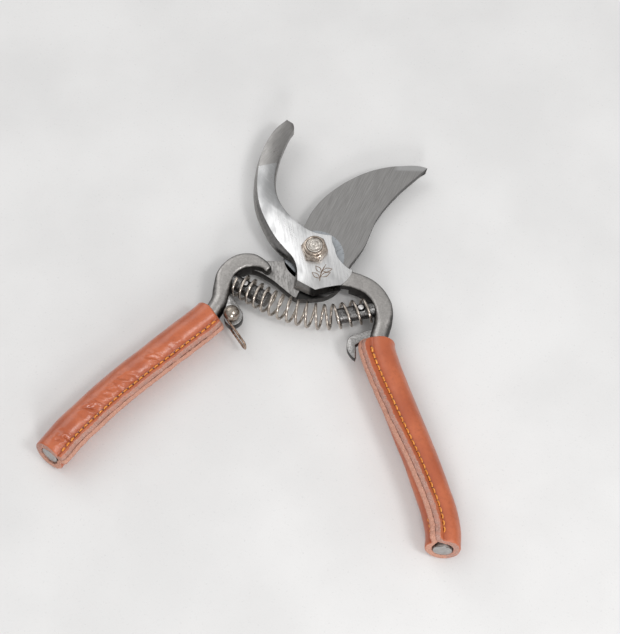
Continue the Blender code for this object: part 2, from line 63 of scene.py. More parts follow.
# Heights
BLADE_BOTTOM, BLADE_TOP, TANG_TOP = 3.1, 6.5, 7.3
HOOK_BOTTOM, FLANK_FOOT = 6.8, 8.0
BAR_MIDDLE, BAR_THICKNESS, BAR_WIDTH, BAR_CORNER = 7.0, 8.0, 7.6, 1.6
BAR_TOP = BAR_MIDDLE + BAR_THICKNESS / 2
ROD_RADIUS = 3.75
SPRING_RADIUS, WIRE_RADIUS, SPRING_TURNS = 4.95, 0.58, 15.5
PEG_RADIUS = 3.25
PIN_DISTANCE, PIN_LEAN = 7.2, 0.19  # from the peg's foot, and sideways for each millimetre up

# Pivot: the hook's hub, the blade's bearing ring, the raised tang's inner edge and the handle's lap
HUB_RADIUS, BEARING_RADIUS, STEP_RADIUS, LAP_RADIUS = 12.4, 12.6, 12.7, 21.8
NUT_ACROSS_FLATS = 10.0
NUT_TURN = math.radians(-57.7)

# Catch
RIVET = Vector((-26.4, -36.2))
BALL_RADIUS, BALL_MIDDLE = 3.4, 10.9
LUG_RADIUS = 4.6
LOOP_HEADING = math.radians(-43)
LOOP_REACH, LOOP_WIRE, EYE_RADIUS = 14.6, 0.5, 2.6

# Centre lines of the two handles, and of the spring and its pegs (foot, direction, length)
LEFT_BAR = [
    (-17.4, -11.9), (-18.9, -10.8), (-21.4, -10.0), (-24.8, -9.8), (-28.6, -11.2), (-31.8, -14.3),
    (-33.6, -18.7), (-33.7, -24.0), (-33.3, -30.0), (-35.0, -36.6),
]  # fmt: skip
LEFT_ROD = [
    (-38.6, -42.6), (-44.4, -50.9), (-50.3, -59.4), (-56.3, -68.0), (-61.6, -76.0), (-66.6, -84.0),
    (-71.6, -92.8), (-76.5, -102.0), (-81.2, -113.0),
]  # fmt: skip
RIGHT_BAR = [
    (11.0, -9.6), (16.0, -9.0), (20.5, -9.2), (24.6, -10.1), (28.5, -12.2), (31.7, -15.3), (33.9, -18.9),
    (34.9, -23.2), (34.8, -27.6), (34.7, -31.6),
]  # fmt: skip
RIGHT_ROD = [
    (35.6, -36.6), (38.3, -42.0), (44.2, -51.6), (51.4, -62.8), (57.5, -72.2), (63.2, -81.0),
    (69.3, -91.3), (73.7, -99.3), (76.9, -107.2), (78.2, -115.2),
]  # fmt: skip
SPRING_LINE = [(-28.2, -20.4), (-22.5, -22.3), (-15.7, -24.6), (-6.5, -26.9), (2.7, -27.7), (9.5, -27.3),
               (15.4, -25.7), (22.0, -22.5), (28.8, -19.2)]  # fmt: skip
LEFT_PEG = (Vector((-31.6, -19.2, BAR_MIDDLE)), Vector((0.950, -0.314, 0.0)).normalized(), 18.6)
RIGHT_PEG = (Vector((31.4, -18.0, BAR_MIDDLE)), Vector((-0.898, -0.439, 0.0)).normalized(), 17.8)


# ---------------------------------------------------------------- shader helpers


class Shader:
    """One material's node tree, built with short calls."""

    def __init__(self, name):
        self.material = bpy.data.materials.new(name)
        self.material.use_nodes = True
        self.tree = self.material.node_tree
        self.bsdf = self.tree.nodes["Principled BSDF"]
        self.place = self.node("ShaderNodeTexCoord").outputs["Object"]

    def node(self, kind, **settings):
        made = self.tree.nodes.new(kind)
        for key, value in settings.items():
            setattr(made, key, value)
        return made

    def feed(self, socket, value):
        if isinstance(value, bpy.types.NodeSocket):
            self.tree.links.new(value, socket)
        elif value is not None:
            socket.default_value = value

    def mapped(self, scale=(1, 1, 1), turn=0.0):
        """Object coordinates in millimetres, scaled along axes turned about Z by this many degrees."""
        mapping = self.node("ShaderNodeMapping", vector_type="TEXTURE")
        mapping.inputs["Rotation"].default_value = (0, 0, math.radians(turn))
        mapping.inputs["Scale"].default_value = [MM / s for s in scale]
        self.feed(mapping.inputs["Vector"], self.place)
        return mapping.outputs["Vector"]

    def noise(self, size, scale=(1, 1, 1), turn=0.0, detail=3.0, rough=0.5):
        """Noise from 0 to 1 whose features are about this many millimetres across."""
        made = self.node("ShaderNodeTexNoise")
        made.inputs["Scale"].default_value = 1 / size
        made.inputs["Detail"].default_value = detail
        made.inputs["Roughness"].default_value = rough
        self.feed(made.inputs["Vector"], self.mapped(scale, turn))
        return made.outputs["Fac"]

    def cells(self, size):
        """Distance to the nearest of many scattered points, for pores and specks."""
        made = self.node("ShaderNodeTexVoronoi")
        made.inputs["Scale"].default_value = 1 / size
        self.feed(made.inputs["Vector"], self.mapped())
        return made.outputs["Distance"]

    def remap(self, value, low, high, to_low=0.0, to_high=1.0):
        made = self.node("ShaderNodeMapRange", interpolation_type="SMOOTHSTEP")
        for key, number in (("From Min", low), ("From Max", high), ("To Min", to_low), ("To Max", to_high)):
            made.inputs[key].default_value = number
        self.feed(made.inputs["Value"], value)
        return made.outputs["Result"]

    def math(self, operation, a, b=0.5):
        made = self.node("ShaderNodeMath", operation=operation)
        self.feed(made.inputs[0], a)
        self.feed(made.inputs[1], b)
        return made.outputs[0]

    def mix(self, factor, a, b):
        made = self.node("ShaderNodeMix", data_type="RGBA")
        self.feed(made.inputs[0], factor)
        self.feed(made.inputs[6], (*a, 1) if isinstance(a, tuple) else a)
        self.feed(made.inputs[7], (*b, 1) if isinstance(b, tuple) else b)
        return made.outputs[2]

    def axis(self, x=0.0, y=0.0, z=0.0):
        """Position along a direction, in millimetres."""
        made = self.node("ShaderNodeVectorMath", operation="DOT_PRODUCT")
        self.feed(made.inputs[0], self.place)
        made.inputs[1].default_value = (1000 * x, 1000 * y, 1000 * z)
        return made.outputs["Value"]

    def facing_up(self):
        """How far the surface faces up or down, from 0 on a wall to 1 on a flat."""
        split = self.node("ShaderNodeSeparateXYZ")
        self.feed(split.inputs[0], self.node("ShaderNodeNewGeometry").outputs["Normal"])
        return self.math("ABSOLUTE", split.outputs["Z"])

    def flag(self, name):
        return self.node("ShaderNodeAttribute", attribute_name=name).outputs["Fac"]

    def bump(self, *layers):
        """Bumps from (height, depth in millimetres) pairs, one on the other."""
        normal = None
        for height, depth in layers:
            made = self.node("ShaderNodeBump")
            made.inputs["Distance"].default_value = depth * MM
            self.feed(made.inputs["Height"], height)
            self.feed(made.inputs["Normal"], normal)
            normal = made.outputs["Normal"]
        self.feed(self.bsdf.inputs["Normal"], normal)

    def finish(self, colour, roughness, metallic):
        colour = (*colour, 1) if isinstance(colour, tuple) else colour
        self.feed(self.bsdf.inputs["Base Color"], colour)
        self.feed(self.bsdf.inputs["Roughness"], roughness)
        self.feed(self.bsdf.inputs["Metallic"], metallic)
        return self.material


def grey(level, warmth=0.0):
    """A grey from its sRGB level (0 to 255), made a little warm or cool."""
    linear = (level / 255) ** 2.2
    return (linear * (1 + warmth), linear, linear * (1 - warmth))


def tone(red, green, blue):
    """A colour from sRGB levels."""
    return tuple((c / 255) ** 2.2 for c in (red, green, blue))


def polished_plate():
    """The hook's flat: a painted reflection, brightest beside the pivot and greyer outwards, with a
    separately ground grey tip and painted shade on the arch walls.
    """
    s = Shader("polished_plate")
    along = s.axis(-0.40, 0.92)
    cloud = s.noise(5, (1, 0.45, 1), turn=25, detail=4)
    drift = s.remap(cloud, 0.2, 0.8, -4, 4)
    # Painted reflection: the flat is brightest beside the pivot and greys outwards, along the jaw and towards
    # the heel.
    reflection_fade_jaw = s.remap(s.math("ADD", along, drift), 2, 35)
    reflection_fade_heel = s.remap(s.math("ADD", s.axis(0.45, -0.9), drift), -2, 20, 0, 0.8)
    bright = s.mix(reflection_fade_jaw, grey(248), grey(158, -0.005))
    bright = s.mix(reflection_fade_heel, bright, grey(196, 0.01))
    brushed = s.noise(0.45, (1, 0.045, 1), turn=22, detail=4, rough=0.7)
    crossed = s.noise(0.5, (1, 0.04, 1), turn=58, detail=3, rough=0.7)
    bright = s.mix(s.remap(brushed, 0.42, 0.70, 0, 0.40), bright, grey(160))
    bright = s.mix(s.remap(crossed, 0.56, 0.72, 0, 0.25), bright, grey(238))
    bright = s.mix(s.remap(cloud, 0.48, 0.72, 0, 0.45), bright, grey(142, -0.01))
    tip = s.remap(s.axis(-0.44, 0.90), 46.2, 46.6)
    tip_look = s.mix(s.noise(0.35, (1, 0.12, 1), turn=-25), grey(118, 0.03), grey(152, 0.03))
    top = s.mix(tip, bright, tip_look)
    wall = s.mix(s.noise(1.2, detail=4), grey(112, 0.03), grey(156, 0.03))
    # Painted shade: the walls round the arch, right of x = 2 mm and below y = -11 mm, are darkened nearly
    # black.
    arch_shade = s.math("MULTIPLY", s.remap(s.axis(1, 0), 1.0, 3.0), s.remap(s.axis(0, 1), -10, -12))
    wall = s.mix(arch_shade, wall, grey(48, 0.04))
    colour = s.mix(s.remap(s.facing_up(), 0.76, 0.87), wall, top)
    s.bump((brushed, 0.012), (s.noise(6, detail=2), 0.05))
    rough = s.remap(cloud, 0.3, 0.8, 0.26, 0.40)
    return s.finish(colour, rough, 1.0)


def forged_bar():
    """Forged handle: satin grey crown, sides painted dark as shade, rubbed spots, a sawn end."""
    s = Shader("forged_bar")
    up = s.math("ADD", s.facing_up(), s.remap(s.noise(1.6, detail=4), 0.2, 0.8, -0.08, 0.08))
    grain = s.noise(0.7, (1, 1, 1), detail=5, rough=0.7)
    crown = s.mix(s.remap(grain, 0.3, 0.7), grey(150, 0.045), grey(172, 0.04))
    crown = s.mix(s.remap(s.cells(1.1), 0.10, 0.02), crown, grey(225))
    # Painted shade: this dark grey goes on the faces that turn from up, which are the sides.
    scale = s.mix(s.noise(0.9, detail=4), grey(44, 0.05), grey(88, 0.05))
    colour = s.mix(s.remap(up, 0.50, 0.96), scale, crown)
    sawn = s.mix(s.noise(1.5, detail=4), grey(150, 0.03), grey(200, 0.02))
    ends = s.math("MULTIPLY", s.remap(s.axis(0, -1), 104, 106), s.remap(s.facing_up(), 0.6, 0.5))
    colour = s.mix(ends, colour, sawn)
    s.bump((s.noise(0.45, detail=4), 0.03), (s.noise(3.5, detail=2), 0.25))
    rough = s.remap(s.noise(1.3, detail=3), 0.3, 0.7, 0.36, 0.5)
    return s.finish(colour, rough, 1.0)


def ground_blade():
    """The blade's flat, ground in long strokes, with a lighter facet by the tip and painted shadow darkening
    the heel.
    """
    s = Shader("ground_blade")
    strokes = s.noise(0.34, (1, 0.03, 1), turn=-11, detail=5, rough=0.75)
    broad = s.noise(2.6, (1, 0.10, 1), turn=-11, detail=3)
    colour = s.mix(s.remap(strokes, 0.3, 0.7), grey(132, 0.025), grey(160, 0.02))
    colour = s.mix(s.remap(broad, 0.35, 0.7, 0, 0.4), colour, grey(142, 0.02))
    tip = s.math("MULTIPLY", s.remap(s.axis(1, 0.0), 23.5, 25.5), s.remap(s.axis(-0.20, 0.98), 43.5, 44.6))
    colour = s.mix(s.math("MULTIPLY", tip, 0.6), colour, grey(182))
    # Painted shadow: the heel, below y = -17 mm, is darkened.
    colour = s.mix(s.remap(s.axis(0, 1), -16.5, -18.0), colour, grey(58, 0.03))
    wall = s.mix(s.noise(1.0, detail=4), grey(70, 0.04), grey(110, 0.04))
    colour = s.mix(s.remap(s.facing_up(), 0.5, 0.9), wall, colour)
    s.bump((strokes, 0.016), (s.noise(5, detail=2), 0.04))
    rough = s.remap(broad, 0.3, 0.7, 0.36, 0.46)
    return s.finish(colour, rough, 1.0)


def bearing_steel():
    """The ring round the pivot that slides beneath the hook, smooth; its light bluish colour, shown mostly
    diffuse rather than metallic, is partly painted reflection.
    """
    s = Shader("bearing_steel")
    marks = s.noise(1.0, (1, 0.4, 1), turn=-40, detail=4)
    colour = s.mix(marks, grey(140, -0.05), grey(180, -0.06))
    s.bump((marks, 0.01))
    # Painted reflection in part: a low metallic lets the light bluish base show as if lit, in the recess by
    # the hook.
    return s.finish(colour, s.remap(marks, 0.3, 0.7, 0.25, 0.4), 0.3)


def scaled_tang():
    """The blade's tang, left rough from the hammer and brushed, with painted shade on its walls."""
    s = Shader("scaled_tang")
    streak = s.noise(0.7, (1, 0.30, 1), turn=18, detail=5, rough=0.65)
    top = s.mix(s.remap(streak, 0.32, 0.66), grey(128, 0.035), grey(176, 0.03))
    # Painted shade: walls, the step round the pivot among them, are darkened by how far they turn from up.
    wall = s.mix(s.noise(0.8, detail=4), grey(58, 0.04), grey(100, 0.04))
    colour = s.mix(s.remap(s.facing_up(), 0.55, 0.9), wall, top)
    s.bump((streak, 0.03), (s.noise(2.5, detail=3), 0.12))
    return s.finish(colour, s.remap(streak, 0.3, 0.7, 0.5, 0.38), 1.0)


def plated(name, light, dark, roughness):
    """Warm nickel plate, a little stained where it doesn't get rubbed."""
    s = Shader(name)
    stain = s.noise(1.4, detail=5, rough=0.6)
    colour = s.mix(s.remap(stain, 0.35, 0.7), light, dark)
    s.bump((s.noise(0.3, detail=3), 0.012))
    return s.finish(colour, s.remap(stain, 0.3, 0.7, roughness, roughness + 0.14), 1.0)


def marked_steel(s, marks, colour):
    """Ends a steel material: fine marks, a slight unevenness and a roughness that follows the marks."""
    s.bump((marks, 0.03), (s.noise(2.2, detail=2), 0.06))
    return s.finish(colour, s.remap(marks, 0.3, 0.7, 0.45, 0.3), 1.0)


def dark_steel(name, light, dark):
    """Dull turned or cut steel with fine marks and worn spots."""
    s = Shader(name)
    marks = s.noise(0.5, detail=5, rough=0.65)
    return marked_steel(s, marks, s.mix(s.remap(marks, 0.35, 0.7), dark, light))


def shaded_wall_plate():
    """Small stamped pieces: pale faces, with edges and walls painted dark as shade."""
    s = Shader("catch_metal")
    marks = s.noise(0.6, detail=5, rough=0.65)
    face = s.mix(s.remap(marks, 0.35, 0.7), grey(134, 0.03), grey(182, 0.02))
    # Painted shade: walls take this dark grey by how far they turn from up.
    wall = s.mix(marks, grey(40, 0.04), grey(84, 0.04))
    return marked_steel(s, marks, s.mix(s.remap(s.facing_up(), 0.6, 0.97), wall, face))


def leather(name, gloss):
    """Smooth tan leather with raw cut edges, darker along the stitch line, with painted shade at the stitch
    holes and along the gap between the two layers.
    """
    s = Shader(name)
    cloud = s.noise(11, detail=3)
    skin = s.mix(s.remap(cloud, 0.3, 0.7), tone(168, 82, 46), tone(186, 97, 58))
    skin = s.mix(s.remap(s.noise(1.3, detail=4), 0.45, 0.75, 0, 0.35), skin, tone(150, 70, 38))
    skin = s.mix(s.math("MULTIPLY", s.flag("crease"), 0.45), skin, tone(134, 60, 34))
    specks = s.noise(0.42, detail=5, rough=0.75)
    fibres = s.noise(2.0, detail=4, rough=0.7)
    upper = s.mix(s.remap(specks, 0.32, 0.68), tone(130, 96, 86), tone(200, 160, 146))
    upper = s.mix(s.remap(fibres, 0.40, 0.62), upper, tone(178, 128, 112))
    lower = s.mix(s.remap(specks, 0.25, 0.70), tone(160, 108, 88), tone(208, 158, 138))
    band = s.math("ADD", s.flag("lower"), s.remap(s.noise(1.8, detail=3), 0.3, 0.7, -0.45, 0.45))
    raw = s.mix(s.remap(band, 0.3, 0.7), upper, lower)
    # Painted shade: the raw edge is darkened, in patches, at the inner face: along the gap between the two
    # layers and inside the bore.
    dark = s.math("MULTIPLY", s.flag("seam"), s.remap(s.noise(1.6, detail=4), 0.42, 0.66, 0.0, 0.7))
    raw = s.mix(dark, raw, tone(84, 58, 50))
    edge = s.math("ADD", s.flag("raw"), s.remap(s.noise(0.9, detail=3), 0.3, 0.7, -0.25, 0.25))
    is_raw = s.remap(edge, 0.30, 0.62)
    colour = s.mix(is_raw, skin, raw)
    # Painted shade: dark spots at the stitch holes, which the mesh only dents.
    colour = s.mix(s.flag("hole"), colour, tone(70, 30, 16))
    gloss_now = s.remap(s.noise(2.6, detail=3), 0.3, 0.7, gloss, gloss + 0.10)
    rough = s.math("ADD", gloss_now, s.math("MULTIPLY", is_raw, 0.4))
    s.bump((s.cells(0.5), 0.02), (specks, 0.04), (s.noise(2.2, detail=2), 0.08))
    shine = s.math("SUBTRACT", 0.45, s.math("MULTIPLY", is_raw, 0.45))
    s.feed(s.bsdf.inputs["Coat Weight"], shine)
    s.feed(s.bsdf.inputs["Coat Roughness"], s.remap(cloud, 0.3, 0.7, gloss - 0.06, gloss + 0.04))
    return s.finish(colour, rough, 0.0)


def waxed_thread():
    s = Shader("waxed_thread")
    twist = s.noise(0.28, (1, 0.5, 1), turn=30, detail=3)
    colour = s.mix(s.remap(twist, 0.35, 0.65), tone(206, 112, 30), tone(250, 182, 92))
    s.bump((twist, 0.08))
    return s.finish(colour, s.remap(twist, 0.3, 0.7, 0.5, 0.75), 0.0)


def etched_line():
    s = Shader("etched_line")
    stain = s.noise(0.5, detail=4)
    colour = s.mix(stain, tone(92, 72, 56), tone(140, 116, 94))
    return s.finish(colour, s.remap(stain, 0.3, 0.7, 0.5, 0.8), 0.3)


def plain_floor():
    s = Shader("plain_floor")
    cloud = s.noise(60, detail=4)
    fine = s.noise(0.9, detail=4, rough=0.7)
    colour = s.mix(s.remap(cloud, 0.3, 0.7), grey(215, 0.008), grey(223, 0.008))
    colour = s.mix(s.remap(fine, 0.60, 0.70, 0, 0.25), colour, grey(176))
    s.bump((fine, 0.05))
    return s.finish(colour, s.remap(fine, 0.3, 0.7, 0.65, 0.85), 0.0)


# ---------------------------------------------------------------- shape helpers


def eased(t):
    t = min(max(t, 0.0), 1.0)
    return t * t * (3 - 2 * t)


def polar(radius, angle):
    return Vector((radius * math.cos(angle), radius * math.sin(angle)))


def through(points, steps):
    """A smooth curve through the points (Catmull-Rom), with this many points to a span."""
    points = [Vector(p) for p in points]
    points = [2 * points[0] - points[1], *points, 2 * points[-1] - points[-2]]
    curve = []
    for a, b, c, d in zip(points, points[1:], points[2:], points[3:]):
        for i in range(steps):
            t = i / steps
            curve.append(
                b + 0.5 * t * ((c - a) + t * (2 * a - 5 * b + 4 * c - d + t * (3 * b - a - 3 * c + d)))
            )
    return [*curve, points[-2]]


def outline(*stretches, steps=10):
    """A closed outline of smooth stretches that meet at corners: [(point, offset before, offset after)]."""
    closed = []
    for controls in stretches:
        for p in through(controls, steps if len(controls) > 2 else 1):
            if closed and (closed[-1][0] - p.xy).length < 1e-6:
                closed[-1][2] = p.z
            else:
                closed.append([p.xy, p.z, p.z])
    if (closed[-1][0] - closed[0][0]).length < 1e-6:
        closed[0][1] = closed.pop()[1]
    return closed


def plain(stretch):
    """A stretch of an outline with no offset of its own."""
    return [(point[0], point[1], 0.0) for point in stretch]


def offset(shape, scale=1.0, fixed=0.0):
    """The outline moved outwards by its own offsets times scale, plus a fixed distance."""
    moved = []
    for i, (point, before, after) in enumerate(shape):
        ahead = (shape[(i + 1) % len(shape)][0] - point).normalized()
        behind = (point - shape[i - 1][0]).normalized()
        n1, n2 = Vector((behind.y, -behind.x)), Vector((ahead.y, -ahead.x))
        d1, d2 = before * scale + fixed, after * scale + fixed
        cross = n1.cross(n2)
        if abs(cross) < 0.2:
            shift = (n1 + n2).normalized() * (d1 + d2) / 2
        else:
            shift = Vector((d1 * n2.y - d2 * n1.y, d2 * n1.x - d1 * n2.x)) / cross
        moved.append(point + shift)
    return moved


def piece(name, verts, faces, look, body, slot, nodes=(), flags=None, angle=40.0):
    """A finished mesh on its body, from points in millimetres. flags are numbers per vertex."""
    mesh = bpy.data.meshes.new(name)
    mesh.from_pydata([Vector(v) * MM for v in verts], [], faces)
    for key, values in (flags or {}).items():
        mesh.attributes.new(key, "FLOAT", "POINT").data.foreach_set("value", values)
    work = bmesh.new()
    work.from_mesh(mesh)
    bmesh.ops.recalc_face_normals(work, faces=work.faces)
    caps = [face for face in work.faces if len(face.verts) > 4]
    bmesh.ops.triangulate(work, faces=caps, ngon_method="EAR_CLIP")
    work.to_mesh(mesh)
    work.free()
    mesh.materials.append(look)
    mesh.shade_smooth()
    mesh.set_sharp_from_angle(angle=math.radians(angle))
    made = bpy.data.objects.new(name, mesh)
    bpy.context.scene.collection.objects.link(made)
    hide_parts(*nodes)
    if body:
        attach(made, body)
    return made


def stack(rings, start=0, capped=True, looped=False):
    """Faces through rings of points of one count: (points, faces), numbered from start."""
    count = len(rings[0])
    verts = [tuple(p) for ring in rings for p in ring]
    faces = []
    for k in range(len(rings) - (0 if looped else 1)):
        low = start + k * count
        high = start + ((k + 1) % len(rings)) * count
        for i in range(count):
            j = (i + 1) % count
            faces.append((low + i, low + j, high + j, high + i))
    if capped and not looped:
        faces.append(tuple(start + i for i in reversed(range(count))))
        faces.append(tuple(start + (len(rings) - 1) * count + i for i in range(count)))
    return verts, faces


def joined(*parts):
    """Several lists of rings as one mesh."""
    verts, faces = [], []
    for rings in parts:
        more, added = stack(rings, len(verts))
        verts += more
        faces += added
    return verts, faces


def turned(profile, base=(0, 0, 0), axis=(0, 0, 1), sides=64, turn=0.0):
    """Rings of a solid of revolution from (radius, height) pairs along an axis."""
    place = Matrix.Translation(base) @ Vector(axis).to_track_quat("Z", "Y").to_matrix().to_4x4()
    angles = [turn + 2 * math.pi * i / sides for i in range(sides)]
    return [
        [place @ Vector((radius * math.cos(a), radius * math.sin(a), height)) for a in angles]
        for radius, height in profile
    ]


def rounded(profile, radius, steps=4):
    """A (radius, height) profile with the corners between its ends rounded to about this radius."""
    points = [Vector(p) for p in profile]
    made = [points[0]]
    for a, b, c in zip(points, points[1:], points[2:]):
        cut = min(radius, (a - b).length / 2, (c - b).length / 2)
        start, end = b + (a - b).normalized() * cut, b + (c - b).normalized() * cut
        for i in range(steps + 1):
            t = i / steps
            made.append((1 - t) ** 2 * start + 2 * t * (1 - t) * b + t * t * end)
    return [*made, points[-1]]


def carve(made, rings):
    """Cuts a solid of rings out of a piece."""
    verts, faces = joined(rings)
    mesh = bpy.data.meshes.new("cutter")
    mesh.from_pydata([Vector(v) * MM for v in verts], [], faces)
    work = bmesh.new()
    work.from_mesh(mesh)
    bmesh.ops.recalc_face_normals(work, faces=work.faces)
    work.to_mesh(mesh)
    work.free()
    cutter = bpy.data.objects.new("cutter", mesh)
    bpy.context.scene.collection.objects.link(cutter)
    modifier = made.modifiers.new("cut", "BOOLEAN")
    modifier.operation, modifier.solver, modifier.object = "DIFFERENCE", "EXACT", cutter
    graph = bpy.context.evaluated_depsgraph_get()
    shaped = bpy.data.meshes.new_from_object(made.evaluated_get(graph))
    made.modifiers.clear()
    made.data = shaped
    made.data.shade_smooth()
    made.data.set_sharp_from_angle(angle=math.radians(28))
    bpy.data.objects.remove(cutter)


def heading(line, i):
    return (line[min(i + 1, len(line) - 1)] - line[max(i - 1, 0)]).normalized()


def side(direction):
    return Vector((-direction.y, direction.x))


def rounded_section(width, height, corner, per_corner=8):
    points = []
    for quarter, (sx, sy) in enumerate(((1, 1), (-1, 1), (-1, -1), (1, -1))):
        middle = Vector((sx * (width / 2 - corner), sy * (height / 2 - corner)))
        for i in range(per_corner + 1):
            a = math.pi / 2 * (quarter + i / (per_corner + 1))
            points.append(middle + polar(corner, a))
        if quarter in (0, 2):
            for i in range(1, 4):
                points.append(middle + Vector((-sx * (width - 2 * corner) * i / 4, sy * corner)))
    return points


def tube(path, radius, sides=12):
    """Rings of a round wire along a path in space, without twist."""
    path = [Vector(p) for p in path]
    rings = []
    across = None
    for i, point in enumerate(path):
        along = (path[min(i + 1, len(path) - 1)] - path[max(i - 1, 0)]).normalized()
        if across is None:
            across = along.orthogonal().normalized()
        across = (across - along * across.dot(along)).normalized()
        up = along.cross(across)
        r = radius(i / (len(path) - 1)) if callable(radius) else radius
        rings.append(
            [
                point + r * (across * math.cos(a) + up * math.sin(a))
                for a in (2 * math.pi * k / sides for k in range(sides))
            ]
        )
    return rings


def wobble(rings, size, depth, seed):
    """Rings pushed in and out a little by noise, as a forging is never quite true."""
    moved = []
    for ring in rings:
        middle = sum((Vector(p) for p in ring), Vector((0, 0, 0))) / len(ring)
        out = []
        for p in ring:
            p = Vector(p)
            push = noise.noise(p / size + Vector((seed, 0, 0))) * depth
            out.append(p + (p - middle).normalized() * push)
        moved.append(out)
    return moved


# ---------------------------------------------------------------- forgings


def bar_rings(bar_line, rod_line, nose, reach, slant, seed):
    """One handle's bar: a rounded rectangle that becomes the round rod inside the leather."""
    steps = 8
    line = through(bar_line + rod_line, steps)
    turn = steps * (len(bar_line) - 1)
    line = line[:-1]
    line[-1] = line[-2].lerp(line[-1], reach)
    rings = []
    for i, point in enumerate(line):
        rounding = eased((i - turn + 24) / 16)
        width = BAR_WIDTH + (2 * ROD_RADIUS - BAR_WIDTH) * rounding
        height = BAR_THICKNESS + (2 * ROD_RADIUS - BAR_THICKNESS) * rounding
        corner = BAR_CORNER + (ROD_RADIUS - BAR_CORNER - 0.01) * rounding
        if nose:
            width -= 4.0 * eased(1 - i / 36)
        across = side(heading(line, i))
        section = rounded_section(width, height, min(corner, width / 2 - 0.01))
        rings.append([(*(point + across * p.x), BAR_MIDDLE + p.y) for p in section])
    rings = wobble(rings, 4.0, 0.10, seed)
    if nose:
        back = -heading(line, 0)
        first = [Vector(p) for p in rings[0]]
        middle = sum(first, Vector((0, 0, 0))) / len(first)
        for degrees in (15, 30, 45, 60, 72, 82):
            a = math.radians(degrees)
            ahead = Vector((*back, 0)) * 1.7 * math.sin(a)
            rings.insert(0, [middle + (p - middle) * math.cos(a) + ahead for p in first])
    along = Vector((*heading(line, len(line) - 1), 0))
    last_ring = [Vector(p) - along * slant * (p[2] - BAR_MIDDLE) for p in rings[-1]]
    middle = sum(last_ring, Vector((0, 0, 0))) / len(last_ring)
    rings[-1] = last_ring
    for shrink, ahead in ((0.97, 0.12), (0.90, 0.22), (0.86, 0.24), (0.5, 0.26)):
        rings.append([middle + (p - middle) * shrink + along * ahead for p in last_ring])
    return rings


def plate_rings(shape, levels):
    return [[(*p, z) for p in offset(shape, scale, fixed)] for z, scale, fixed in levels]


def hook_forging():
    outer = [
        (-27.2, 61.5, 0.0), (-31.0, 55.4, 0.1), (-33.2, 47.5, 0.4), (-33.7, 39.0, 0.9), (-32.7, 30.8, 1.3),
        (-30.6, 22.5, 1.8), (-27.2, 15.0, 2.2), (-22.2, 8.0, 2.5), (-17.2, 2.4, 2.6), (-12.0, -1.9, 2.2),
        (-7.9, -5.2, 1.1), (-5.3, -9.6, 0.6), (-3.8, -15.0, 1.6),
    ]  # fmt: skip
    facet = [(-3.8, -15.0, 2.5), (4.5, -17.6, 1.7)]
    arch = [(4.5, -17.6, 1.0), (8.2, -15.6, 0.9), (12.6, -13.6, 0.8), (14.4, -13.0, 0.6)]
    border = plain([(14.4, -13.0), (15.4, -11.6), (16.6, -9.4), (17.4, -7.0), (17.5, -4.9)])
    shoulder = plain([
        (17.5, -4.9), (14.8, -4.0), (11.3, -1.5), (9.2, 0.9), (7.9, 3.6), (6.2, 6.4), (5.3, 9.3),
    ])  # fmt: skip
    inner = [
        (5.3, 9.3, 0.0), (0.6, 8.9, 0.0), (-3.2, 9.2, 0.0), (-7.1, 10.5, 0.0), (-12.7, 13.6, 0.1),
        (-18.2, 18.2, 0.3), (-22.3, 23.9, 0.5), (-24.7, 31.5, 0.8), (-25.4, 39.5, 1.3), (-25.1, 46.5, 1.9),
        (-24.0, 54.0, 2.3), (-23.1, 57.4, 2.1), (-24.2, 60.5, 1.0), (-27.2, 61.5, 0.0),
    ]  # fmt: skip
    stretches = (outer, facet, arch, border, shoulder)
    shape = outline(*stretches, plain(inner))
    ground = outline(*[plain(stretch) for stretch in stretches], inner)
    top = BAR_TOP
    levels = [
        (HOOK_BOTTOM, 1, -0.25), (HOOK_BOTTOM + 0.25, 1, 0), (FLANK_FOOT - 0.3, 1, 0), (FLANK_FOOT, 0.96, 0),
        (FLANK_FOOT + 0.9, 0.74, 0), (top - 1.1, 0.38, 0),
    ]  # fmt: skip
    plate = plate_rings(shape, levels)
    upper = [(top - 0.9, 0.26), (top - 0.35, 0.08), (top - 0.16, 0), (top - 0.05, 0), (top, 0)]
    inset = (0, 0, -0.02, -0.10, -0.24)
    cut = (-0.02, -0.45, -0.75, -0.9, -1)
    for (z, scale), fixed, share in zip(upper, inset, cut):
        flank = offset(shape, scale, fixed)
        chamfer = offset(ground, share, fixed)
        bare = offset(shape, 0, fixed)
        plate.append([(*(a + b - c), z) for a, b, c in zip(flank, chamfer, bare)])
    jaw = piece("hook_jaw", *joined(plate), polished_plate(), ROOT, "hook_steel", ["hook_forging"], angle=28)
    swept = [math.radians(195 + 131 * i / 40) for i in range(41)]
    sector = [polar(26, a) for a in swept]
    sector += [polar(HUB_RADIUS, a) for a in reversed(swept)]
    carve(jaw, [[(*p, z) for p in sector] for z in (5.0, TANG_TOP + 0.3)])
    bar = bar_rings(RIGHT_BAR, RIGHT_ROD, False, 0.9, 0.10, 3.0)
    bar = [[(p[0], p[1], p[2] - 0.05) for p in ring] for ring in bar]
    skipped = sum(1 for ring in bar if ring[0][0] < 16.5)
    handle = piece("right_handle", *joined(bar[skipped - 8 :]), forged_bar(), ROOT, "hook_steel")
    carve(handle, turned([(LAP_RADIUS, 0.0), (LAP_RADIUS, TANG_TOP + 0.3)], sides=96))


